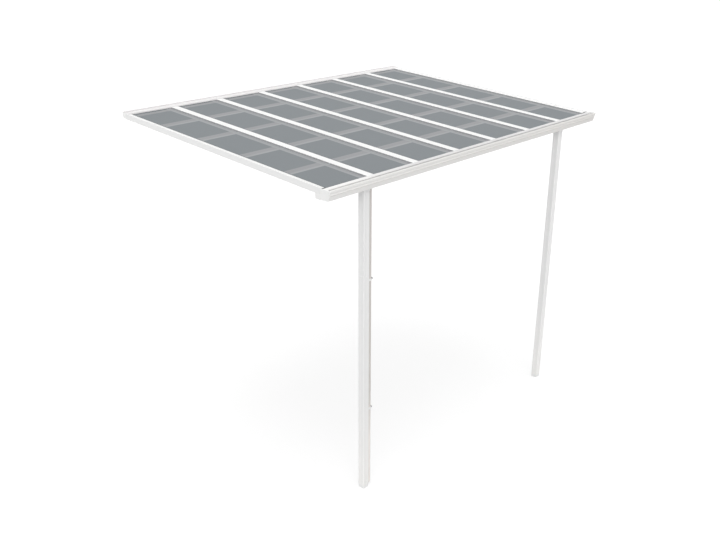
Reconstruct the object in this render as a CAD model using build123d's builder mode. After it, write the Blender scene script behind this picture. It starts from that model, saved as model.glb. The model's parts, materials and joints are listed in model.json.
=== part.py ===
from build123d import *
from math import cos, radians, tan
import os

# Attached patio cover: a lean-to roof of seven glazed bays between extruded rafters, hung on a
# rail along the house wall and carried in front by a rain gutter on two posts.
# Millimetres. The origin is the centre of the wall rail's back face, +X runs along the wall to
# the right for someone who faces it, +Y points into the wall and +Z is up.

# Overall sizes
bay_count = 7
bay_pitch = 500.0
projection = 2470.0
roof_pitch = 3.5
wall_height = 2850.0

# Rafters: a hollow ledge under the glazing and a slotted spine that the cap snaps into
ledge_width = 80.0
ledge_height = 16.0
profile_wall = 2.0
spine_width = 14.0
spine_slot = 8.0
spine_height = 8.0
edge_spine_inset = 21.0
side_wall = 3.0
side_drop = 4.0
side_rim = 13.0
side_bead = 8.0

# Caps over the glazing edges
cap_width = 68.0
cap_height = 6.0
cap_plate = 2.0
cap_leg = 3.0
snap_leg = 1.5
snap_reach = 9.0
cap_rounding = 1.5
corner_gap = 14.0
corner_drop = 1.5

# Glazing and its rubber seals
panel_thickness = 4.0
upper_seal = 2.0
lower_seal = 3.0
seal_width = 6.0
seal_inset = 2.0
panel_edge_gap = 5.0
panel_end_gap = 2.0

# Cross bars under the glazing
bar_width = 52.0
bar_height = 16.0
bar_front_gap = 444.0
bar_back_gap = 429.0
bar_pair_gap = 507.0

# Wall rail
rail_height = 52.0
rail_depth = 43.5
rail_wall = 4.0
hood_wall = 3.0
hood_rise = 3.0
hood_back = 8.0
hood_top = 17.0
wall_hole = 9.0
wall_hole_height = 3.0

# Gutter, measured from the rafters' front ends
gutter_reach = 97.0
gutter_taper = 19.0
gutter_bead = 10.0
gutter_bead_height = 15.0
gutter_lip_rise = 10.0
gutter_ridge_drop = 18.0
gutter_ridge_height = 14.0
gutter_ridge_depth = 2.5
gutter_floor = 73.0
gutter_floor_rise = 4.0
gutter_back = 50.0
gutter_wall = 2.5
gutter_seat_width = 14.0
gutter_seat_height = 16.0
step_front = 12.0
step_width = 16.0
step_height = 8.0
end_plate = 3.0

# Eaves strip that closes the glazing and drips into the gutter
strip_reach = 34.0
strip_fall = 5.0
strip_thickness = 2.0
strip_drip = 6.0

# Posts
post_size = 60.0
post_wall = 2.5
post_rounding = 4.0
post_inset = 422.0
flute_width = 22.0
flute_depth = 1.2
head_plate = 3.0
head_sleeve = 35.0
head_wall = 2.5
foot_height = 30.0
foot_inset = 1.0
foot_floor = 6.0
foot_wall = 4.0
foot_plug = 60.0
anchor_hole = 14.0

# Rain pipe on the left post
pipe_diameter = 40.0
pipe_wall = 2.0
pipe_standoff = 10.0
pipe_ground_gap = 20.0
outlet_wall = 2.0
outlet_flange = 2.0
outlet_drop = 55.0
clip_heights = (744.0, 1880.0)
clip_height = 18.0
clip_band = 2.5
clip_foot = 26.0
clip_ear = 9.0
clip_ear_width = 10.0

# Clearances
fit = 0.3

# Worked-out places
slope = tan(radians(roof_pitch))
tilt = cos(radians(roof_pitch))
roof_width = bay_count * bay_pitch
left_x = -roof_width / 2
front_y = -projection
ground_z = -wall_height
panel_top = cap_height + upper_seal
panel_bottom = panel_top + panel_thickness
ledge_top = panel_bottom + lower_seal
rafter_depth = ledge_top + ledge_height
cap_plane_at_wall = rafter_depth / tilt - rail_height / 2
eave_z = cap_plane_at_wall - projection * slope
panel_edge = spine_width / 2 + panel_edge_gap
post_y = front_y + gutter_back - post_size / 2
post_top = eave_z - gutter_floor - head_plate
foot_top = ground_z + foot_height
post_centres = {
    "left": left_x + post_inset + post_size / 2,
    "right": -left_x - post_inset - post_size / 2,
}
pipe_x = post_centres["left"] + post_size / 2 + pipe_standoff + pipe_diameter / 2
pipe_y = front_y + (step_width - step_front + gutter_back - gutter_wall) / 2


def save(piece, name):
    """Labels a finished piece and writes it under its own name."""
    piece.part.label = name
    export_step(piece.part, f"parts/{name}.step")


def roof_height(y, below=0.0):
    """Height of the surface that lies `below` under the caps' top plane, at distance y."""
    return cap_plane_at_wall + y * slope - below / tilt


def run_to(y, depth=0.0):
    """Distance up the slope, from the front ends, at which a square end `depth` deep reaches y."""
    return (y - front_y) / tilt - depth * slope


def roof_plane(x, run):
    """Plane across the slope, looking down it: local X along the wall, local Y off the roof."""
    return Plane(
        origin=(x, front_y + run * tilt, eave_z + run * tilt * slope),
        x_dir=(1, 0, 0),
        z_dir=(0, -1, -slope),
    )


def wall_plane(x):
    """Plane square to the wall: local X into the wall, local Y up, extruded along the wall."""
    return Plane(origin=(x, 0, 0), x_dir=(0, 1, 0), z_dir=(1, 0, 0))


def box_outline(left, right, bottom, top):
    """Rectangle in a sketch, given by its sides."""
    with Locations(((left + right) / 2, (bottom + top) / 2)):
        Rectangle(right - left, top - bottom)


def box_cut(left, right, bottom, top):
    """The same rectangle, taken out of the sketch."""
    with Locations(((left + right) / 2, (bottom + top) / 2)):
        Rectangle(right - left, top - bottom, mode=Mode.SUBTRACT)


os.makedirs("parts", exist_ok=True)

# Rafters run from just behind the eaves strip to the front face of the wall rail's ledge
rafter_front = side_rim * slope
rafter_back = run_to(-rail_depth, rafter_depth + side_drop)
cap_back = run_to(-rail_depth, snap_reach + cap_plate)
panel_front = rafter_front
panel_back = run_to(-rail_wall - panel_end_gap, panel_bottom)


def spine(centre):
    """Slotted upright between two glazing edges."""
    box_outline(centre - spine_width / 2, centre + spine_width / 2, -ledge_top, spine_height - ledge_top)
    box_cut(centre - spine_slot / 2, centre + spine_slot / 2, -ledge_top, spine_height - ledge_top)


def ledge(left, right):
    """Hollow ledge that carries the glazing."""
    box_outline(left, right, -rafter_depth, -ledge_top)
    box_cut(
        left + profile_wall,
        right - profile_wall,
        profile_wall - rafter_depth,
        -ledge_top - profile_wall,
    )


for number in range(1, bay_count):
    with BuildPart() as rafter:
        with BuildSketch(roof_plane(left_x + number * bay_pitch, rafter_back)):
            ledge(-ledge_width / 2, ledge_width / 2)
            spine(0)
        extrude(amount=rafter_back - rafter_front)
    save(rafter, f"rafter_{number}")

# The two side rafters add an outer wall that drops below the ledge and ends in a raised, hollow bead
for side, turn in (("left", 1), ("right", -1)):
    with BuildPart() as side_rafter:
        with BuildSketch(roof_plane(turn * left_x, rafter_back)):
            with BuildSketch(mode=Mode.PRIVATE) as half_profile:
                ledge(0, edge_spine_inset + ledge_width / 2)
                spine(edge_spine_inset)
                box_outline(0, side_wall, -rafter_depth - side_drop, side_rim)
                box_outline(0, side_bead, -cap_height, side_rim)
                rim = half_profile.vertices().group_by(Axis.Y)[-1]
                fillet(rim, radius=cap_rounding)
                box_cut(
                    profile_wall,
                    side_bead - profile_wall,
                    profile_wall - cap_height,
                    side_rim - profile_wall,
                )
            if turn > 0:
                add(half_profile.sketch)
            else:
                add(mirror(half_profile.sketch, about=Plane.YZ, mode=Mode.PRIVATE))
        extrude(amount=rafter_back - rafter_front)
    save(side_rafter, f"rafter_{side}")


def cap_section(left, right, spine_centre):
    """Flat cover plate with edge legs and two snap legs that grip the inside of the spine."""
    box_outline(left, right, -cap_plate, 0)
    box_outline(left, left + cap_leg, -cap_height, 0)
    box_outline(right - cap_leg, right, -cap_height, 0)
    snap_side = spine_slot / 2 - fit
    for edge in (-snap_side, snap_side - snap_leg):
        box_outline(
            spine_centre + edge,
            spine_centre + edge + snap_leg,
            -cap_plate - snap_reach,
            -cap_plate,
        )


for number in range(1, bay_count):
    with BuildPart() as cap:
        with BuildSketch(roof_plane(left_x + number * bay_pitch, cap_back)) as profile:
            cap_section(-cap_width / 2, cap_width / 2, 0)
            fillet(profile.vertices().group_by(Axis.Y)[-1], radius=cap_rounding)
        extrude(amount=cap_back - rafter_front)
    save(cap, f"cap_{number}")

# The side caps stop short of the eaves, where a rubber block fills the corner
outer = side_bead + fit
inner = edge_spine_inset + cap_width / 2
side_cap_front = rafter_front + corner_gap
for side, turn in (("left", 1), ("right", -1)):
    with BuildPart() as side_cap:
        with BuildSketch(roof_plane(turn * left_x, cap_back)):
            with BuildSketch(mode=Mode.PRIVATE) as half_profile:
                cap_section(outer, inner, edge_spine_inset)
                fillet(half_profile.vertices().group_by(Axis.Y)[-1], radius=cap_rounding)
            if turn > 0:
                add(half_profile.sketch)
            else:
                add(mirror(half_profile.sketch, about=Plane.YZ, mode=Mode.PRIVATE))
        extrude(amount=cap_back - side_cap_front)
    save(side_cap, f"cap_{side}")


def bay_sides(bay, inner_offset, edge_offset):
    """X of a bay's two sides, offset inward from the rafter lines or from the roof's sides."""
    low = edge_offset if bay == 0 else inner_offset
    high = edge_offset if bay == bay_count - 1 else inner_offset
    return left_x + bay * bay_pitch + low, left_x + (bay + 1) * bay_pitch - high


# Flat tinted sheets, one to a bay, with their upper ends in the wall rail's pocket
for bay in range(bay_count):
    low_x, high_x = bay_sides(bay, panel_edge, edge_spine_inset + panel_edge)
    with BuildPart() as panel:
        with BuildSketch(roof_plane(0, panel_back)):
            box_outline(low_x, high_x, -panel_bottom, -panel_top)
        extrude(amount=panel_back - panel_front)
    save(panel, f"panel_{bay + 1}")

# Four rows of hollow cross bars, in line from bay to bay, face to face with the ledges
last_bar_row = run_to(-rail_depth) - bar_back_gap
bar_rows = (
    bar_front_gap,
    bar_front_gap + bar_pair_gap,
    last_bar_row - bar_pair_gap,
    last_bar_row,
)
for row, run in enumerate(bar_rows, start=1):
    with BuildPart() as bars:
        for bay in range(bay_count):
            low_x, high_x = bay_sides(bay, ledge_width / 2, edge_spine_inset + ledge_width / 2)
            with BuildSketch(
                Plane(
                    origin=(low_x, front_y + run * tilt, eave_z + run * tilt * slope),
                    x_dir=(0, 1, slope),
                    z_dir=(1, 0, 0),
                )
            ):
                box_outline(-bar_width / 2, bar_width / 2, -panel_bottom - bar_height, -panel_bottom)
                box_cut(
                    profile_wall - bar_width / 2,
                    bar_width / 2 - profile_wall,
                    profile_wall - panel_bottom - bar_height,
                    -panel_bottom - profile_wall,
                )
            extrude(amount=high_x - low_x)
    save(bars, f"crossbars_row_{row}")

# Rubber seals: one under each cap edge and one on each ledge, two along the wall rail, and the corner blocks
seal_ends = run_to(-rail_depth, rafter_depth + side_drop)
seal_out = cap_width / 2 - seal_inset
with BuildPart() as seals:
    with BuildSketch(roof_plane(0, seal_ends)):
        for bay in range(bay_count):
            low_x, high_x = bay_sides(bay, seal_out, edge_spine_inset + seal_out)
            for edge in (low_x - seal_width, high_x):
                box_outline(edge, edge + seal_width, -panel_top, -cap_height)
                box_outline(edge, edge + seal_width, -ledge_top, -panel_bottom)
    extrude(amount=seal_ends - rafter_front)
    with BuildSketch(roof_plane(0, side_cap_front)):
        for low_x, high_x in ((left_x + outer, left_x + inner), (-left_x - inner, -left_x - outer)):
            box_outline(low_x, high_x, -cap_height, -corner_drop)
    extrude(amount=corner_gap)
    for top, bottom in ((cap_height, panel_top), (panel_bottom, ledge_top)):
        with BuildSketch(wall_plane(left_x + end_plate)):
            with BuildLine():
                Polyline(
                    (-rail_depth, roof_height(-rail_depth, bottom)),
                    (-rail_depth + hood_wall, roof_height(-rail_depth + hood_wall, bottom)),
                    (-rail_depth + hood_wall, roof_height(-rail_depth + hood_wall, top)),
                    (-rail_depth, roof_height(-rail_depth, top)),
                    close=True,
                )
            make_face()
        extrude(amount=roof_width - 2 * end_plate)
save(seals, "glazing_seals")


def rail_outline():
    """Outline of the wall rail: back wall, hood over the glazing, pocket and ledge."""
    lip = -rail_depth + hood_wall
    hood_front = roof_height(-rail_depth) + hood_rise
    Polyline(
        (0, rail_height / 2),
        (0, -rail_height / 2),
        (-rail_depth, roof_height(-rail_depth, rafter_depth)),
        (-rail_depth, roof_height(-rail_depth, ledge_top)),
        (-rail_wall, roof_height(-rail_wall, ledge_top)),
        (-rail_wall, hood_top - hood_wall),
        (-hood_back, hood_top - hood_wall),
        (lip, hood_front - hood_wall),
        (lip, roof_height(lip, cap_height)),
        (-rail_depth, roof_height(-rail_depth, cap_height)),
        (-rail_depth, hood_front),
        (-hood_back, hood_top),
        (-hood_back, rail_height / 2),
        close=True,
    )


with BuildPart() as wall_rail:
    with BuildSketch(wall_plane(left_x + end_plate)):
        with BuildLine():
            rail_outline()
        make_face()
        with BuildLine():
            Polyline(
                (-rail_wall, roof_height(-rail_wall, ledge_top + profile_wall)),
                (-rail_wall, roof_height(-rail_wall, rafter_depth - profile_wall)),
                (profile_wall - rail_depth, roof_height(profile_wall - rail_depth, rafter_depth - profile_wall)),
                (profile_wall - rail_depth, roof_height(profile_wall - rail_depth, ledge_top + profile_wall)),
                close=True,
            )
        make_face(mode=Mode.SUBTRACT)
    extrude(amount=roof_width - 2 * end_plate)
    # One wall hole behind each inner rafter, in the gap between two sheets
    with Locations(Plane(origin=(0, 0, wall_hole_height), x_dir=(1, 0, 0), z_dir=(0, 1, 0))):
        with GridLocations(bay_pitch, 0, bay_count - 1, 1):
            Cylinder(
                wall_hole / 2,
                rail_wall,
                align=(Align.CENTER, Align.CENTER, Align.MAX),
                mode=Mode.SUBTRACT,
            )
save(wall_rail, "wall_rail")

for side, plate_x in (("left", left_x), ("right", -left_x - end_plate)):
    with BuildPart() as rail_end:
        with BuildSketch(wall_plane(plate_x)):
            with BuildLine():
                Polyline(
                    (0, rail_height / 2),
                    (0, -rail_height / 2),
                    (-rail_depth, roof_height(-rail_depth, rafter_depth)),
                    (-rail_depth, roof_height(-rail_depth) + side_rim),
                    (-hood_back, rail_height / 2),
                    close=True,
                )
            make_face()
        extrude(amount=end_plate)
    save(rail_end, f"wall_rail_end_{side}")


def gutter_plane(x):
    """Plane across the gutter, measured from the caps' front top edge."""
    return Plane(origin=(x, front_y, eave_z), x_dir=(0, 1, 0), z_dir=(1, 0, 0))


def under_rafters(y, below=0.0):
    """Height of the rafters' undersides above the gutter plane's origin."""
    return y * slope - (rafter_depth + below) / tilt


# Gutter: front wall with a bead, tapering to a stepped floor, and a hollow seat under the rafters
floor_front = gutter_floor_rise - gutter_floor
bead_bottom = gutter_lip_rise - gutter_bead_height
front_foot = gutter_taper - gutter_reach
gutter_skin = [
    (-gutter_reach + gutter_wall, bead_bottom),
    (front_foot, floor_front),
    (-step_front, -gutter_floor),
    (step_width / 4 - step_front, step_height - gutter_floor),
    (step_width * 3 / 4 - step_front, step_height - gutter_floor),
    (step_width - step_front, -gutter_floor),
    (gutter_back, -gutter_floor),
    (gutter_back, under_rafters(gutter_back, gutter_seat_height / 2)),
]


def front_face(height):
    """Distance of the front wall's outer face at a height on the gutter plane."""
    lean = (gutter_taper - gutter_wall) / (bead_bottom - floor_front)
    return gutter_wall - gutter_reach + (bead_bottom - height) * lean


ridge_top = bead_bottom - gutter_ridge_drop
ridge_bottom = ridge_top - gutter_ridge_height
seat_front = gutter_back - gutter_seat_width
seat_hollow = (seat_front + gutter_wall, gutter_back - gutter_wall)
with BuildPart() as gutter:
    with BuildSketch(gutter_plane(left_x + end_plate)) as gutter_section:
        with BuildLine():
            skin = Polyline(*gutter_skin)
            offset(skin, amount=gutter_wall, side=Side.LEFT)
        make_face()
        with BuildLine():
            Polyline(
                (gutter_back, under_rafters(gutter_back, gutter_seat_height)),
                (gutter_back, under_rafters(gutter_back)),
                (seat_front, under_rafters(seat_front)),
                (seat_front, under_rafters(seat_front, gutter_seat_height)),
                close=True,
            )
        make_face()
        with BuildLine():
            Polyline(
                *[(y, under_rafters(y, gutter_seat_height - gutter_wall)) for y in seat_hollow],
                *[(y, under_rafters(y, gutter_wall)) for y in reversed(seat_hollow)],
                close=True,
            )
        make_face(mode=Mode.SUBTRACT)
        with BuildLine():
            Polyline(
                (front_face(ridge_top), ridge_top),
                (front_face(ridge_top) - gutter_ridge_depth, ridge_top - gutter_ridge_depth),
                (front_face(ridge_bottom) - gutter_ridge_depth, ridge_bottom + gutter_ridge_depth),
                (front_face(ridge_bottom), ridge_bottom),
                close=True,
            )
        make_face()
        box_outline(-gutter_reach, gutter_bead - gutter_reach, bead_bottom, gutter_lip_rise)
        bead = gutter_section.vertices().group_by(Axis.Y)[-1]
        fillet(bead, radius=gutter_bead / 3)
    extrude(amount=roof_width - 2 * end_plate)
    with Locations((pipe_x, pipe_y, eave_z - gutter_floor)):
        Cylinder(
            pipe_diameter / 2 - pipe_wall - fit,
            gutter_wall,
            align=(Align.CENTER, Align.CENTER, Align.MIN),
            mode=Mode.SUBTRACT,
        )
save(gutter, "gutter")

for side, plate_x in (("left", left_x), ("right", -left_x - end_plate)):
    with BuildPart() as gutter_end:
        with BuildSketch(gutter_plane(plate_x)) as plate:
            with BuildLine():
                Polyline(
                    (0, gutter_lip_rise),
                    (-gutter_reach, gutter_lip_rise),
                    (-gutter_reach, bead_bottom),
                    *gutter_skin[:-1],
                    (gutter_back, under_rafters(gutter_back, side_drop)),
                    (0, under_rafters(0, side_drop)),
                    close=True,
                )
            make_face()
            front_corner = plate.vertices().group_by(Axis.Y)[-1].sort_by(Axis.X)[0]
            fillet(front_corner, radius=gutter_bead / 3)
        extrude(amount=end_plate)
    save(gutter_end, f"gutter_end_{side}")

with BuildPart() as eaves_strip:
    with BuildSketch(gutter_plane(left_x + end_plate)):
        with BuildLine():
            Polyline(
                (0, 0),
                (0, under_rafters(0)),
                (-strip_thickness, under_rafters(0)),
                (-strip_thickness, -strip_thickness * 1.5),
                (strip_thickness - strip_reach, -strip_fall - strip_thickness),
                (strip_thickness - strip_reach, -strip_fall - strip_drip),
                (-strip_reach, -strip_fall - strip_drip),
                (-strip_reach, -strip_fall),
                close=True,
            )
        make_face()
    extrude(amount=roof_width - 2 * end_plate)
save(eaves_strip, "eaves_strip")


def fluted_square(size, flute):
    """Square with rounded corners and one shallow flute down the middle of each side."""
    RectangleRounded(size, size, post_rounding)
    if flute > 0:
        with PolarLocations(size / 2, 4):
            Rectangle(2 * flute, flute_width, mode=Mode.SUBTRACT)


for side, post_x in post_centres.items():
    with BuildPart() as post:
        with BuildSketch(Plane(origin=(post_x, post_y, foot_top))):
            fluted_square(post_size, flute_depth)
            bore = post_size - 2 * (post_wall + flute_depth)
            Rectangle(bore, bore, mode=Mode.SUBTRACT)
        extrude(amount=post_top - foot_top)
    save(post, f"post_{side}")

    with BuildPart() as post_head:
        sleeve = post_size + 2 * (head_wall + fit)
        with BuildSketch(Plane(origin=(post_x, post_y, post_top))):
            RectangleRounded(sleeve, sleeve, post_rounding)
        extrude(amount=head_plate)
        with BuildSketch(Plane(origin=(post_x, post_y, post_top - head_sleeve))):
            RectangleRounded(sleeve, sleeve, post_rounding)
            RectangleRounded(post_size + 2 * fit, post_size + 2 * fit, post_rounding, mode=Mode.SUBTRACT)
        extrude(amount=head_sleeve)
    save(post_head, f"post_head_{side}")

    with BuildPart() as post_foot:
        stub = post_size - 2 * foot_inset
        plug = bore - 2 * fit
        with BuildSketch(Plane(origin=(post_x, post_y, ground_z))):
            RectangleRounded(stub, stub, post_rounding)
        extrude(amount=foot_height)
        with BuildSketch(Plane(origin=(post_x, post_y, foot_top))):
            Rectangle(plug, plug)
        extrude(amount=foot_plug)
        with BuildSketch(Plane(origin=(post_x, post_y, ground_z + foot_floor))):
            Rectangle(plug - 2 * foot_wall, plug - 2 * foot_wall)
        extrude(amount=foot_height + foot_plug - foot_floor, mode=Mode.SUBTRACT)
        with Locations((post_x, post_y, ground_z)):
            Cylinder(
                anchor_hole / 2,
                foot_floor,
                align=(Align.CENTER, Align.CENTER, Align.MIN),
                mode=Mode.SUBTRACT,
            )
    save(post_foot, f"post_foot_{side}")

# Rain pipe, its outlet in the gutter floor and its clips on the left post
pipe_top = eave_z - gutter_floor
pipe_foot = ground_z + pipe_ground_gap
with BuildPart() as rain_pipe:
    with BuildSketch(Plane(origin=(pipe_x, pipe_y, pipe_foot))):
        Circle(pipe_diameter / 2)
        Circle(pipe_diameter / 2 - pipe_wall, mode=Mode.SUBTRACT)
    extrude(amount=pipe_top - pipe_foot)
save(rain_pipe, "rain_pipe")

spigot = pipe_diameter / 2 - pipe_wall - fit
with BuildPart() as outlet:
    with BuildSketch(Plane(origin=(pipe_x, pipe_y, pipe_top + gutter_wall))):
        Circle(spigot + outlet_flange)
    extrude(amount=outlet_wall)
    with BuildSketch(Plane(origin=(pipe_x, pipe_y, pipe_top - outlet_drop))):
        Circle(spigot - fit)
    extrude(amount=outlet_drop + gutter_wall)
    with BuildSketch(Plane(origin=(pipe_x, pipe_y, pipe_top - outlet_drop))):
        Circle(spigot - fit - outlet_wall)
    extrude(amount=outlet_drop + gutter_wall + outlet_wall, mode=Mode.SUBTRACT)
save(outlet, "gutter_outlet")

band_radius = pipe_diameter / 2 + fit
for name, height in zip(("lower", "upper"), clip_heights):
    with BuildPart() as clip:
        with BuildSketch(Plane(origin=(pipe_x, pipe_y, ground_z + height - clip_height / 2))):
            Circle(band_radius + clip_band)
            box_outline(-pipe_diameter / 2 - pipe_standoff, 0, -clip_foot / 2, clip_foot / 2)
            box_outline(0, band_radius + clip_ear, -clip_ear_width / 2, clip_ear_width / 2)
            Circle(band_radius, mode=Mode.SUBTRACT)
        extrude(amount=clip_height)
    save(clip, f"pipe_clip_{name}")
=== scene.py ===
"""Looks of the attached patio cover: white coated profiles, grey tinted sheets, rubber seals and moulded
fittings, and the small fasteners that the solids leave out."""
import json
import math
import bmesh
import bpy
from mathutils import Matrix, Vector


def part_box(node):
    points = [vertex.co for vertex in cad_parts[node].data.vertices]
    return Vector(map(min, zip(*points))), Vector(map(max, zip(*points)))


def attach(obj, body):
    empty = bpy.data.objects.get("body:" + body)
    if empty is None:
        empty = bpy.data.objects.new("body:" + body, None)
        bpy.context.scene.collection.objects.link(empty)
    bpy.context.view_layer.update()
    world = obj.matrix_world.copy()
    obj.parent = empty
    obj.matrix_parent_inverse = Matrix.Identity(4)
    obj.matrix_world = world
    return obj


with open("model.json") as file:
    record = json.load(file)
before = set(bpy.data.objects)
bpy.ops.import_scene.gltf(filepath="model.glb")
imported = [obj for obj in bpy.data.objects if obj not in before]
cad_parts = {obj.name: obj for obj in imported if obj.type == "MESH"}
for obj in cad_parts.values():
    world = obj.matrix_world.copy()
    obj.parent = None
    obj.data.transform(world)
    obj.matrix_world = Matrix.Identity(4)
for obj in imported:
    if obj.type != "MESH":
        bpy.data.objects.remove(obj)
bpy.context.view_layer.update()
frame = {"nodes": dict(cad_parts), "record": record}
nodes = frame["nodes"]
MM = 0.001


def middle(name):
    """Middle of a CAD piece's box."""
    low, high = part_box(name)
    return (low + high) / 2


# Places read from the frame
rail_low, rail_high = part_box("wall_rail")
gutter_low, gutter_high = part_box("gutter")
ROOF_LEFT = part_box("rafter_left")[0].x
ROOF_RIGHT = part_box("rafter_right")[1].x
CAPS_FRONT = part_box("cap_1")[0].y
FLOOR_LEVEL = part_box("post_foot_left")[0].z
RAFTERS = [name for name in sorted(nodes) if name.startswith("rafter_")]
BAR_ROWS = [name for name in sorted(nodes) if name.startswith("crossbars_row_")]

# The roof's pitch, as the solids have it
SLOPE = math.radians(3.5)


# Materials

def linear(code):
    """Linear colour of an sRGB hex code."""
    channels = [int(code[i:i + 2], 16) / 255 for i in (1, 3, 5)]
    return tuple(c / 12.92 if c <= 0.04045 else ((c + 0.055) / 1.055) ** 2.4 for c in channels) + (1.0,)


def add(tree, kind, links=None, **settings):
    """Adds a node with its settings, and sets or links its inputs."""
    node = tree.nodes.new(kind)
    for name, value in settings.items():
        setattr(node, name, value)
    for socket, value in (links or {}).items():
        if isinstance(value, bpy.types.NodeSocket):
            tree.links.new(value, node.inputs[socket])
        else:
            node.inputs[socket].default_value = value
    return node


def new_material(name):
    """An empty material, its node tree and its surface shader."""
    material = bpy.data.materials.new(name)
    material.use_nodes = True
    tree = material.node_tree
    shader = next(n for n in tree.nodes if n.type == "BSDF_PRINCIPLED")
    return material, tree, shader


def patches(tree, place, size, first, second, detail=2.0):
    """Soft patches of this size: their share, from none to one, and two colours mixed by it."""
    noise = add(tree, "ShaderNodeTexNoise", {"Vector": place, "Scale": 1 / size, "Detail": detail})
    share = noise.outputs["Fac"]
    mix = add(tree, "ShaderNodeMix", {
        "Factor": share, "A": linear(first), "B": linear(second),
    }, data_type="RGBA")
    return share, mix.outputs["Result"]


def uneven(tree, shader, place, size, depth, strength, detail=1.0):
    """Gives the surface bumps of this size."""
    noise = add(tree, "ShaderNodeTexNoise", {"Vector": place, "Scale": 1 / size, "Detail": detail})
    height = noise.outputs["Fac"]
    bump = add(tree, "ShaderNodeBump", {"Height": height, "Strength": strength, "Distance": depth})
    tree.links.new(bump.outputs["Normal"], shader.inputs["Normal"])


def washed(tree, colour, place, axis, painted_lit_tone, ends):
    """The colour, turned by painted light to a paler one towards the first of two places on an axis."""
    along = add(tree, "ShaderNodeSeparateXYZ", {"Vector": place}).outputs[axis]
    fade_from_painted_light = add(tree, "ShaderNodeMapRange", {"Value": along, "From Min": ends[0], "From Max": ends[1]})
    mix = add(tree, "ShaderNodeMix", {
        "Factor": fade_from_painted_light.outputs["Result"], "A": linear(painted_lit_tone), "B": colour,
    }, data_type="RGBA")
    return mix.outputs["Result"]


def painted_side_shade(tree, colour, side_shade_tone):
    """The colour, turned to a painted shade on faces to the left and the right."""
    facing = add(tree, "ShaderNodeTexCoord").outputs["Normal"]
    across = add(tree, "ShaderNodeSeparateXYZ", {"Vector": facing}).outputs["X"]
    sideways = add(tree, "ShaderNodeMath", {0: across}, operation="ABSOLUTE").outputs["Value"]
    # No painted shade on faces that tilt up to 30 degrees from level, and all of it on those beyond 64
    # degrees
    side = add(tree, "ShaderNodeMapRange", {"Value": sideways, "From Min": 0.5, "From Max": 0.9})
    mix = add(tree, "ShaderNodeMix", {
        "Factor": side.outputs["Result"], "A": colour, "B": linear(side_shade_tone),
    }, data_type="RGBA")
    return mix.outputs["Result"]


def powder_coated_aluminium(
    name="powder_coated_aluminium", pale="#EBEBEA", palest="#F0F0F0",
    painted_lit_tone="#F0EFED", painted_lit_axis="X", painted_lit_ends=None, side_shade_tone=None,
):
    """Polyester powder coat baked on an extruded profile: an even satin white with a faint orange peel. It
    may be paler at its left or lower end with painted light, and darker from the second of the two places
    given for that. Painted shade darkens the left and right sides of a cap, in the colour given for it."""
    material, tree, shader = new_material(name)
    place = add(tree, "ShaderNodeTexCoord").outputs["Object"]
    drift, colour = patches(tree, place, 900 * MM, pale, palest)
    if painted_lit_ends:
        colour = washed(tree, colour, place, painted_lit_axis, painted_lit_tone, painted_lit_ends)
    if side_shade_tone:
        colour = painted_side_shade(tree, colour, side_shade_tone)
    satin = add(tree, "ShaderNodeMapRange", {"Value": drift, "To Min": 0.40, "To Max": 0.48})
    tree.links.new(colour, shader.inputs["Base Color"])
    tree.links.new(satin.outputs["Result"], shader.inputs["Roughness"])
    # The real peel is about 2 mm from crest to crest and is drawn three times as coarse, or it wouldn't show
    uneven(tree, shader, place, size=6 * MM, depth=0.05 * MM, strength=0.12)
    shader.inputs["IOR"].default_value = 1.5
    return material


# The white profiles under a sheet throw light back up through it. In front of each cross bar, and to the
# left of each ledge, their lit side faces do so most, and the shaded tops behind those a little less. The
# cap shades the sheet on its right. Each pair is measured from the bar's middle, the sheet's left edge or
# the wall rail's front.
BAR_GLOW = (66 * MM, 35 * MM)
BAR_TOP_GLOW = (35 * MM, -21 * MM)
RAIL_GLOW = (74 * MM, 22 * MM)
SEAL_SHADE = (20 * MM, 47 * MM)
LEDGE_GLOW_WIDTH = 27 * MM
GLOW_EDGE = 4 * MM

# A ledge's pale place starts so far from the sheet's right edge in the middle of the roof, so much further
# from it for each metre to the right, and no further than the last value
LEDGE_GLOW_START = 92 * MM
LEDGE_GLOW_GROWTH = 9 * MM
LEDGE_GLOW_START_MOST = 101 * MM


def band(tree, place, start, end):
    """One between two places and none outside them, with soft edges."""
    rise = add(tree, "ShaderNodeMapRange", {
        "Value": place, "From Min": start - GLOW_EDGE, "From Max": start + GLOW_EDGE,
    }, interpolation_type="SMOOTHSTEP").outputs["Result"]
    fall = add(tree, "ShaderNodeMapRange", {
        "Value": place, "From Min": end - GLOW_EDGE, "From Max": end + GLOW_EDGE,
        "To Min": 1.0, "To Max": 0.0,
    }, interpolation_type="SMOOTHSTEP").outputs["Result"]
    return add(tree, "ShaderNodeMath", {0: rise, 1: fall}, operation="MULTIPLY").outputs["Value"]


def largest(tree, shares):
    """The largest of several shares."""
    most = shares[0]
    for share in shares[1:]:
        most = add(tree, "ShaderNodeMath", {0: most, 1: share}, operation="MAXIMUM").outputs["Value"]
    return most


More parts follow.
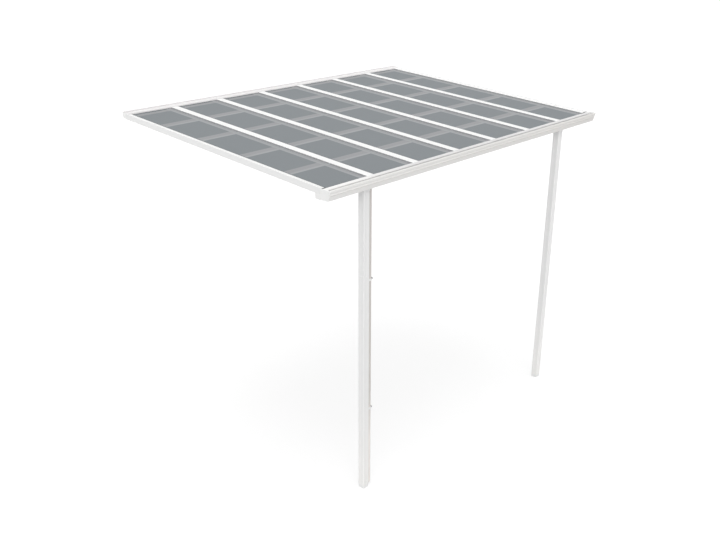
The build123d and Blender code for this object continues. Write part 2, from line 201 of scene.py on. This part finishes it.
def tinted_polycarbonate(name):
    """Extruded polycarbonate sheet, grey through and through and matt outside, with the paler places over
    the white profiles that carry it."""
    material, tree, shader = new_material("tinted_polycarbonate_" + name.split("_")[-1])
    low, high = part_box(name)
    place = add(tree, "ShaderNodeTexCoord").outputs["Object"]
    axes = add(tree, "ShaderNodeSeparateXYZ", {"Vector": place})
    across, along = axes.outputs["X"], axes.outputs["Y"]
    ledge_glow = high.x - min(LEDGE_GLOW_START + LEDGE_GLOW_GROWTH * high.x, LEDGE_GLOW_START_MOST)
    lit = [band(tree, across, ledge_glow, ledge_glow + LEDGE_GLOW_WIDTH)]
    dim = [band(tree, across, ledge_glow + LEDGE_GLOW_WIDTH, high.x)]
    shade = [band(tree, across, low.x + SEAL_SHADE[0], low.x + SEAL_SHADE[1])]
    dim.append(band(tree, along, rail_low.y - RAIL_GLOW[0], rail_low.y - RAIL_GLOW[1]))
    for row in BAR_ROWS:
        bar = middle(row).y
        lit.append(band(tree, along, bar - BAR_GLOW[0], bar - BAR_GLOW[1]))
        dim.append(band(tree, along, bar - BAR_TOP_GLOW[0], bar - BAR_TOP_GLOW[1]))
    colour = linear("#7E8386")
    for bands, tone in ((dim, "#959698"), (lit, "#9C9EA0"), (shade, "#75797C")):
        mix = add(tree, "ShaderNodeMix", {
            "Factor": largest(tree, bands), "A": colour, "B": linear(tone),
        }, data_type="RGBA")
        colour = mix.outputs["Result"]
    tree.links.new(colour, shader.inputs["Base Color"])
    # The sheet's matt skin has shallow ripples about 9 mm apart
    uneven(tree, shader, place, size=9 * MM, depth=0.05 * MM, strength=0.15, detail=2.0)
    shader.inputs["Roughness"].default_value = 0.6
    shader.inputs["IOR"].default_value = 1.585
    shader.inputs["Specular IOR Level"].default_value = 0.12
    return material


def rubber_seal():
    """Black extruded rubber: soft sheen, a dusty bloom in patches."""
    material, tree, shader = new_material("epdm_rubber")
    place = add(tree, "ShaderNodeTexCoord").outputs["Object"]
    colour = patches(tree, place, 30 * MM, "#2E3032", "#43464A", detail=3.0)[1]
    tree.links.new(colour, shader.inputs["Base Color"])
    shader.inputs["Roughness"].default_value = 0.7
    shader.inputs["IOR"].default_value = 1.52
    return material


def moulded_plastic(
    name="moulded_white_plastic", pale="#EDEDEC", palest="#F2F2F1", painted_lit_tone="#F7F1ED", painted_lit_ends=None
):
    """Moulded plastic: a little glossier than the coated profiles, with a fine spark texture. A pipe may be
    paler at its foot with painted light from the floor, as far up as the second of the two heights given for
    it."""
    material, tree, shader = new_material(name)
    place = add(tree, "ShaderNodeTexCoord").outputs["Object"]
    colour = patches(tree, place, 60 * MM, pale, palest)[1]
    if painted_lit_ends:
        colour = washed(tree, colour, place, "Z", painted_lit_tone, painted_lit_ends)
    tree.links.new(colour, shader.inputs["Base Color"])
    # The real sparks are under a millimetre apart and are drawn coarser, or they wouldn't show
    uneven(tree, shader, place, size=2.5 * MM, depth=0.04 * MM, strength=0.1)
    shader.inputs["Roughness"].default_value = 0.38
    shader.inputs["IOR"].default_value = 1.54
    return material


def zinc_plated_steel():
    """Small turned and rolled steel parts with a dull zinc plating."""
    material, tree, shader = new_material("zinc_plated_steel")
    place = add(tree, "ShaderNodeTexCoord").outputs["Object"]
    cloud, colour = patches(tree, place, 4 * MM, "#77797B", "#8E9092", detail=3.0)
    dull = add(tree, "ShaderNodeMapRange", {"Value": cloud, "To Min": 0.35, "To Max": 0.55})
    tree.links.new(colour, shader.inputs["Base Color"])
    tree.links.new(dull.outputs["Result"], shader.inputs["Roughness"])
    shader.inputs["Metallic"].default_value = 0.9
    return material


# Painted shade darkens the eaves strip and, less, the gutter, and painted light makes both paler towards the
# left end; painted shade darkens the wall rail; painted light from the floor makes the posts paler at their
# feet;
# and the rain pipe is of another, warmer plastic, its darker tone partly painted shade and its foot paler
# with painted light from the floor
PAINTED_SHADE_FROM = ROOF_LEFT + 900 * MM
POST_PAINTED_LIGHT = (FLOOR_LEVEL + 100 * MM, FLOOR_LEVEL + 900 * MM)
PIPE_PAINTED_LIGHT = (FLOOR_LEVEL + 450 * MM, FLOOR_LEVEL + 900 * MM)
coat = powder_coated_aluminium()
# Painted shade: the wall rail's coat is darker than the other profiles
painted_shade_rail_coat = powder_coated_aluminium("rail_powder_coat_painted_shade", "#DDDBDB", "#E2E0E0")
# Painted shade: the eaves strip's coat is darker, with painted light making it paler at its left end
painted_shade_strip_coat = powder_coated_aluminium(
    "strip_powder_coat_painted_shade", "#D3D2D2", "#D9D8D8", painted_lit_ends=(ROOF_LEFT, PAINTED_SHADE_FROM)
)
# Painted shade: the gutter's coat is darker, and painted light makes it paler towards its left end
painted_shade_gutter_coat = powder_coated_aluminium(
    "gutter_powder_coat_painted_shade", "#E1DFDC", "#E7E5E2", painted_lit_ends=(ROOF_LEFT, ROOF_RIGHT)
)
# Painted shade on the caps' left and right sides
cap_coat = powder_coated_aluminium("rain_rimmed_powder_coat", side_shade_tone="#B4B5B6")
# Painted light from the floor makes the posts paler at their feet
post_coat = powder_coated_aluminium(
    "splash_washed_powder_coat", painted_lit_tone="#F5F4F2", painted_lit_axis="Z", painted_lit_ends=POST_PAINTED_LIGHT
)
rubber = rubber_seal()
plastic = moulded_plastic()
# The rain pipe's darker tone is partly painted shade, and painted light from the floor makes its foot paler
pipe_plastic = moulded_plastic(
    "extruded_warm_white_plastic", "#CFCAC6", "#D4CFCB", painted_lit_ends=PIPE_PAINTED_LIGHT
)
knob_plastic = moulded_plastic("moulded_grey_nylon", "#7E8082", "#888A8C")
zinc = zinc_plated_steel()

finish_by_slot = {"frame": coat, "seal": rubber, "plastic": plastic}
finish_by_name = {
    "eaves_strip": painted_shade_strip_coat, "gutter": painted_shade_gutter_coat, "wall_rail": painted_shade_rail_coat, "rain_pipe": pipe_plastic,
}
slot_of = {entry["node"]: entry["material_slot"] for entry in frame["record"]["subparts"]}
for name in nodes:
    if name.startswith("cap_") and name != "cap_left":
        finish_by_name[name] = cap_coat
    if name.startswith("post_") and slot_of[name] == "frame":
        finish_by_name[name] = post_coat
for name, piece in nodes.items():
    material = finish_by_name.get(name) or finish_by_slot.get(slot_of[name]) or tinted_polycarbonate(name)
    piece.data.materials.clear()
    piece.data.materials.append(material)


# Fasteners. Heads, nuts and knobs are sized in millimetres, and their places are in metres.

UP = Vector((0, 0, 1))
DOWN = Vector((0, 0, -1))
FRONT = Vector((0, -1, 0))
BACK = Vector((0, 1, 0))
LEFT = Vector((-1, 0, 0))
RIGHT = Vector((1, 0, 0))

# Radius and height of each kind of screw head
ROOF_SCREW = (4.5, 2.6)
PLATE_SCREW = (3.2, 1.8)
POST_SCREW = (4.0, 2.2)
CLIP_SCREW = (6.5, 3.0)

# A screw head's sides, the angles of the rings that make its dome, and its socket's radius and depth as
# shares of the head's own
HEAD_SIDES = 18
DOME_ANGLES = (0, 20, 40, 58, 72)
SOCKET_RADIUS = 0.28
SOCKET_DEPTH = 0.6


def ring_at(mesh, radius, height, sides):
    """A level ring of points about Z."""
    angles = [2 * math.pi * i / sides for i in range(sides)]
    return [
        mesh.verts.new((radius * MM * math.cos(angle), radius * MM * math.sin(angle), height * MM))
        for angle in angles
    ]


def skin(mesh, rings):
    """Faces from each ring to the next, and across the first and the last."""
    for below, above in zip(rings, rings[1:]):
        for i in range(len(below)):
            j = (i + 1) % len(below)
            mesh.faces.new((below[i], below[j], above[j], above[i]))
    mesh.faces.new(list(reversed(rings[0])))
    mesh.faces.new(rings[-1])


def turned(outline, sides, recess=0.0, depth=0.0):
    """Mesh turned about Z from (radius, height) points, with a recess in its top where one is asked for."""
    mesh = bmesh.new()
    rings = [ring_at(mesh, radius, height, sides) for radius, height in outline]
    if recess:
        top = outline[-1][1]
        rings.append(ring_at(mesh, recess, top, sides))
        rings.append(ring_at(mesh, recess, top - depth, sides))
    skin(mesh, rings)
    return mesh


def pan_head(radius, height):
    """Domed screw head with a round socket."""
    angles = [math.radians(angle) for angle in DOME_ANGLES]
    dome = [(radius * math.cos(angle), height * math.sin(angle)) for angle in angles]
    return turned(dome, HEAD_SIDES, recess=radius * SOCKET_RADIUS, depth=height * SOCKET_DEPTH)


def finished(name, mesh, material):
    """Makes a piece of the scene of this mesh, fixed to the cover."""
    data = bpy.data.meshes.new(name)
    mesh.to_mesh(data)
    mesh.free()
    data.materials.append(material)
    piece = bpy.data.objects.new(name, data)
    bpy.context.scene.collection.objects.link(piece)
    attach(piece, "root")


def placed(name, template, spots, material):
    """Makes a piece with a copy of the template at each spot, its head facing in the spot's direction."""
    mesh = bmesh.new()
    copy = bpy.data.meshes.new("copy")
    template.to_mesh(copy)
    for point, direction in spots:
        turn = UP.rotation_difference(direction).to_matrix().to_4x4()
        start = len(mesh.verts)
        mesh.from_mesh(copy)
        mesh.verts.ensure_lookup_table()
        bmesh.ops.transform(mesh, matrix=Matrix.Translation(point) @ turn, verts=mesh.verts[start:])
    bpy.data.meshes.remove(copy)
    finished(name, mesh, material)


def underside(name, y):
    """Height of a rafter's sloping underside at this distance along it."""
    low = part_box(name)[0]
    return low.z + (y - low.y) * math.tan(SLOPE)


# Two screws up into each rafter through the gutter's seat: how far from the rafter's middle, how far in
# front of the seat's back edge, and how far below the rafter
SEAT_SCREW_SHIFT = 20 * MM
SEAT_SCREW_INSET = 7 * MM
SEAT_DROP = 16 * MM
seat_y = gutter_high.y - SEAT_SCREW_INSET
seat_spots = []
for name in RAFTERS:
    height = underside(name, seat_y) - SEAT_DROP
    for shift in (-SEAT_SCREW_SHIFT, SEAT_SCREW_SHIFT):
        seat_spots.append((Vector((middle(name).x + shift, seat_y, height)), DOWN))
placed("gutter_seat_screws", pan_head(*ROOF_SCREW), seat_spots, coat)

# Two screws beside each end of every cross bar, up through the ledge that it meets: how far from the bar's
# middle, how far in from the ledge's edge, and how much higher the outer rafters' ledges are
BAR_SCREW_SHIFT = 13 * MM
BAR_SCREW_INSET = 9 * MM
OUTER_LEDGE_RISE = 4 * MM
bar_spots = []
for row in BAR_ROWS:
    for name in RAFTERS:
        low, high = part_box(name)
        ledges = []
        if name != "rafter_left":
            ledges.append(low.x + BAR_SCREW_INSET)
        if name != "rafter_right":
            ledges.append(high.x - BAR_SCREW_INSET)
        for x in ledges:
            for shift in (-BAR_SCREW_SHIFT, BAR_SCREW_SHIFT):
                y = middle(row).y + shift
                height = underside(name, y)
                if name in ("rafter_left", "rafter_right"):
                    height += OUTER_LEDGE_RISE
                bar_spots.append((Vector((x, y, height)), DOWN))
placed("cross_bar_screws", pan_head(*ROOF_SCREW), bar_spots, coat)

# The gutter's end plates are pressed outward in front of the rafters' ends
PAN_MARGIN = 1.5 * MM
PAN_BEVEL = 1 * MM
PAN_RISE = 1.5 * MM
PAN_GAP = 1 * MM
PAN_BACK = CAPS_FRONT - PAN_GAP
SAME_PLANE = 0.1 * MM


def plate_outline(name, x):
    """Corners of an end plate's outer face in front of the rafters' ends, as a ring of (y, z) points."""
    mesh = bmesh.new()
    mesh.from_mesh(nodes[name].data)
    inner = [face for face in mesh.faces if any(abs(vert.co.x - x) > SAME_PLANE for vert in face.verts)]
    bmesh.ops.delete(mesh, geom=inner, context="FACES")
    everything = mesh.verts[:] + mesh.edges[:] + mesh.faces[:]
    bmesh.ops.bisect_plane(
        mesh, geom=everything, plane_co=(0, PAN_BACK, 0), plane_no=(0, 1, 0), clear_outer=True
    )
    face = bmesh.ops.dissolve_faces(mesh, faces=mesh.faces[:])["region"][0]
    ring = [Vector((vert.co.y, vert.co.z)) for vert in face.verts]
    mesh.free()
    area = sum(a.x * b.y - b.x * a.y for a, b in zip(ring, ring[1:] + ring[:1]))
    return ring if area > 0 else list(reversed(ring))


def inset(ring, amount):
    """The ring moved inward by this much on every side."""
    moved = []
    for before, corner, after in zip(ring[-1:] + ring[:-1], ring, ring[1:] + ring[:1]):
        ways = [(b - a).normalized() for a, b in ((before, corner), (corner, after))]
        normals = [Vector((-way.y, way.x)) for way in ways]
        moved.append(corner + amount * (normals[0] + normals[1]) / (1 + normals[0].dot(normals[1])))
    return moved


# Each ring's margin from the plate's edge, and its rise from the plate's outer face
PAN_RINGS = (
    (PAN_MARGIN, -PAN_BEVEL / 2), (PAN_MARGIN, PAN_RISE - PAN_BEVEL), (PAN_MARGIN + PAN_BEVEL, PAN_RISE),
)
pans = bmesh.new()
for side, x, out in (("left", ROOF_LEFT, -1), ("right", ROOF_RIGHT, 1)):
    outline = plate_outline("gutter_end_" + side, x)
    skin(pans, [
        [pans.verts.new((x + out * rise, y, z)) for y, z in inset(outline, margin)]
        for margin, rise in PAN_RINGS
    ])
bmesh.ops.recalc_face_normals(pans, faces=pans.faces[:])
finished("gutter_end_pans", pans, plastic)

# Screws through the end plates. For the gutter's, the distance behind its front, the depth below its top and
# the rise of a pan under the head, and for the wall rail's, the distance in front of its back and the depth.
GUTTER_PLATE_SCREWS = (
    (7 * MM, 8 * MM, PAN_RISE), (78 * MM, 74 * MM, PAN_RISE), (137 * MM, 60 * MM, 0),
)
RAIL_PLATE_SCREWS = ((24 * MM, 40 * MM), (24 * MM, 17 * MM))
plate_spots = []
for x, way in ((ROOF_LEFT, LEFT), (ROOF_RIGHT, RIGHT)):
    for back, drop, rise in GUTTER_PLATE_SCREWS:
        point = Vector((x + way.x * rise, gutter_low.y + back, gutter_high.z - drop))
        plate_spots.append((point, way))
    for front, drop in RAIL_PLATE_SCREWS:
        plate_spots.append((Vector((x, rail_high.y - front, rail_high.z - drop)), way))
placed("end_plate_screws", pan_head(*PLATE_SCREW), plate_spots, coat)

# Screws in each face of the posts: two through the head's sleeve, and one in the flute into the foot's plug
HEAD_SCREW_SHIFT = 14 * MM
HEAD_SCREW_RISE = 17 * MM
FOOT_SCREW_RISE = 28 * MM
FLUTE_DEPTH = 1.2 * MM
HEAD_REACH = (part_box("post_head_left")[1].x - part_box("post_head_left")[0].x) / 2
FLUTE_REACH = (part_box("post_left")[1].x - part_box("post_left")[0].x) / 2 - FLUTE_DEPTH


def beside_post(side, height, way, reach, shift=0.0):
    """Point at this height and this far from a post's middle one way, shifted sideways."""
    centre = middle("post_" + side)
    return Vector((centre.x, centre.y, height)) + way * reach + way.cross(UP) * shift


post_spots = []
for side in ("left", "right"):
    head_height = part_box("post_head_" + side)[0].z + HEAD_SCREW_RISE
    foot_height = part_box("post_" + side)[0].z + FOOT_SCREW_RISE
    for way in (FRONT, BACK, LEFT, RIGHT):
        for shift in (-HEAD_SCREW_SHIFT, HEAD_SCREW_SHIFT):
            post_spots.append((beside_post(side, head_height, way, HEAD_REACH, shift), way))
        post_spots.append((beside_post(side, foot_height, way, FLUTE_REACH), way))
placed("post_screws", pan_head(*POST_SCREW), post_spots, coat)

# A knob in front of each pipe clip's ear, with a hexagon nut behind it, and a screw above it on two sides
# of the post. The nut's and the knob's outlines give each ring's radius and height.
NUT = ((5.5, 0), (5.5, 1), (4.6, 1), (4.6, 3.8), (4.0, 4.4))
NUT_SIDES = 6
KNOB = ((6.0, 0), (6.0, 2), (8.0, 3), (8.0, 8), (7.2, 9.2), (5.0, 10))
KNOB_SIDES = 20
CLIP_BOLT_DROP = 6 * MM
CLIP_BOLT_INSET = 7 * MM
CLIP_EAR_REACH = 5 * MM
CLIP_SCREW_RISE = 42 * MM
nut_spots = []
knob_spots = []
screw_spots = []
for name in ("pipe_clip_lower", "pipe_clip_upper"):
    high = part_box(name)[1]
    height = high.z - CLIP_BOLT_DROP
    ear = Vector((high.x - CLIP_BOLT_INSET, middle("rain_pipe").y, height))
    knob_spots.append((ear + FRONT * CLIP_EAR_REACH, FRONT))
    nut_spots.append((ear + BACK * CLIP_EAR_REACH, BACK))
    for way in (FRONT, LEFT):
        screw_spots.append((beside_post("left", height + CLIP_SCREW_RISE, way, FLUTE_REACH), way))
placed("pipe_clip_nuts", turned(NUT, NUT_SIDES), nut_spots, zinc)
placed("pipe_clip_knobs", turned(KNOB, KNOB_SIDES), knob_spots, knob_plastic)
placed("pipe_clip_screws", pan_head(*CLIP_SCREW), screw_spots, coat)


# Studio: an even soft light from all round, more of it from above, a key lamp overhead and a fill lamp low
# on the left in front, which reaches under the roof

def white_to_eye(tree):
    """One for rays that come from the camera, a reflection or a clear piece."""
    path = add(tree, "ShaderNodeLightPath")
    rays = ("Is Camera Ray", "Is Glossy Ray", "Is Transmission Ray")
    return largest(tree, [path.outputs[ray] for ray in rays])


# The soft light's strength on the level, and the share of it that is added straight above and taken away
# straight below
AMBIENT = 0.50
FROM_ABOVE = 0.7
world = bpy.data.worlds.new("studio")
bpy.context.scene.world = world
world.use_nodes = True
sky = world.node_tree
background = next(n for n in sky.nodes if n.type == "BACKGROUND")
heading = add(sky, "ShaderNodeTexCoord").outputs["Generated"]
upward = add(sky, "ShaderNodeSeparateXYZ", {"Vector": heading}).outputs["Z"]
soft = add(sky, "ShaderNodeMath", {0: upward, 1: AMBIENT * FROM_ABOVE, 2: AMBIENT}, operation="MULTIPLY_ADD")
level = add(sky, "ShaderNodeMapRange", {
    "Value": white_to_eye(sky), "To Min": soft.outputs["Value"], "To Max": 1.0,
})
sky.links.new(level.outputs["Result"], background.inputs["Strength"])
background.inputs["Color"].default_value = linear("#FFFFFF")

# The floor shines as much as makes it white to the eye where the lamps reach it
FLOOR_REACH = 60.0
FLOOR_GLOW = 0.66
floor_data = bpy.data.meshes.new("floor")
floor_corners = [(-1, -1), (1, -1), (1, 1), (-1, 1)]
floor_data.from_pydata(
    [(x * FLOOR_REACH, y * FLOOR_REACH, FLOOR_LEVEL) for x, y in floor_corners], [], [(0, 1, 2, 3)]
)
floor = bpy.data.objects.new("floor", floor_data)
bpy.context.scene.collection.objects.link(floor)
paper, paper_tree, paper_shader = new_material("white_studio_paper")
paper_shader.inputs["Base Color"].default_value = linear("#A6A6A6")
paper_shader.inputs["Roughness"].default_value = 0.9
paper_shader.inputs["Emission Color"].default_value = linear("#FFFFFF")
glow = add(paper_tree, "ShaderNodeMath", {0: white_to_eye(paper_tree), 1: FLOOR_GLOW}, operation="MULTIPLY")
paper_tree.links.new(glow.outputs["Value"], paper_shader.inputs["Emission Strength"])
# Seen from below, the floor is clear, so that the cover's underside can be looked at
below = add(paper_tree, "ShaderNodeNewGeometry").outputs["Backfacing"]
clear = add(paper_tree, "ShaderNodeBsdfTransparent").outputs["BSDF"]
one_sided = add(paper_tree, "ShaderNodeMixShader", {0: below, 1: paper_shader.outputs["BSDF"], 2: clear})
paper_output = next(n for n in paper_tree.nodes if n.type == "OUTPUT_MATERIAL")
paper_tree.links.new(one_sided.outputs["Shader"], paper_output.inputs["Surface"])
floor_data.materials.append(paper)

# Each lamp's energy, its angle and the way it shines
LAMPS = {
    "soft_key": (0.75, 40, Vector((0.05, 0.02, -1.0))),
    "soft_fill": (2.06, 60, Vector((0.72, 0.69, -0.20))),
}
for name, (energy, angle, way) in LAMPS.items():
    lamp_data = bpy.data.lights.new(name, "SUN")
    lamp_data.energy = energy
    lamp_data.angle = math.radians(angle)
    lamp = bpy.data.objects.new(name, lamp_data)
    bpy.context.scene.collection.objects.link(lamp)
    lamp.rotation_euler = way.to_track_quat("-Z", "Y").to_euler()

# The camera stands in front of the cover's left end, a little above the roof, and looks down to the right.
# Its place, tilt, heading and lens are fitted to the lines of the roof.
CAMERA_PLACE = (-5.4865, -6.472, 1.533)
CAMERA_TILT = 23.02
CAMERA_HEADING = 45.88
CAMERA_LENS = 41.835
camera_data = bpy.data.cameras.new("photo_camera")
camera_data.sensor_width = 36.0
camera_data.lens = CAMERA_LENS
camera = bpy.data.objects.new("photo_camera", camera_data)
bpy.context.scene.collection.objects.link(camera)
camera.location = CAMERA_PLACE
camera.rotation_euler = (math.radians(90 - CAMERA_TILT), 0, -math.radians(CAMERA_HEADING))
bpy.context.scene.camera = camera

bpy.context.scene.view_settings.view_transform = "Standard"
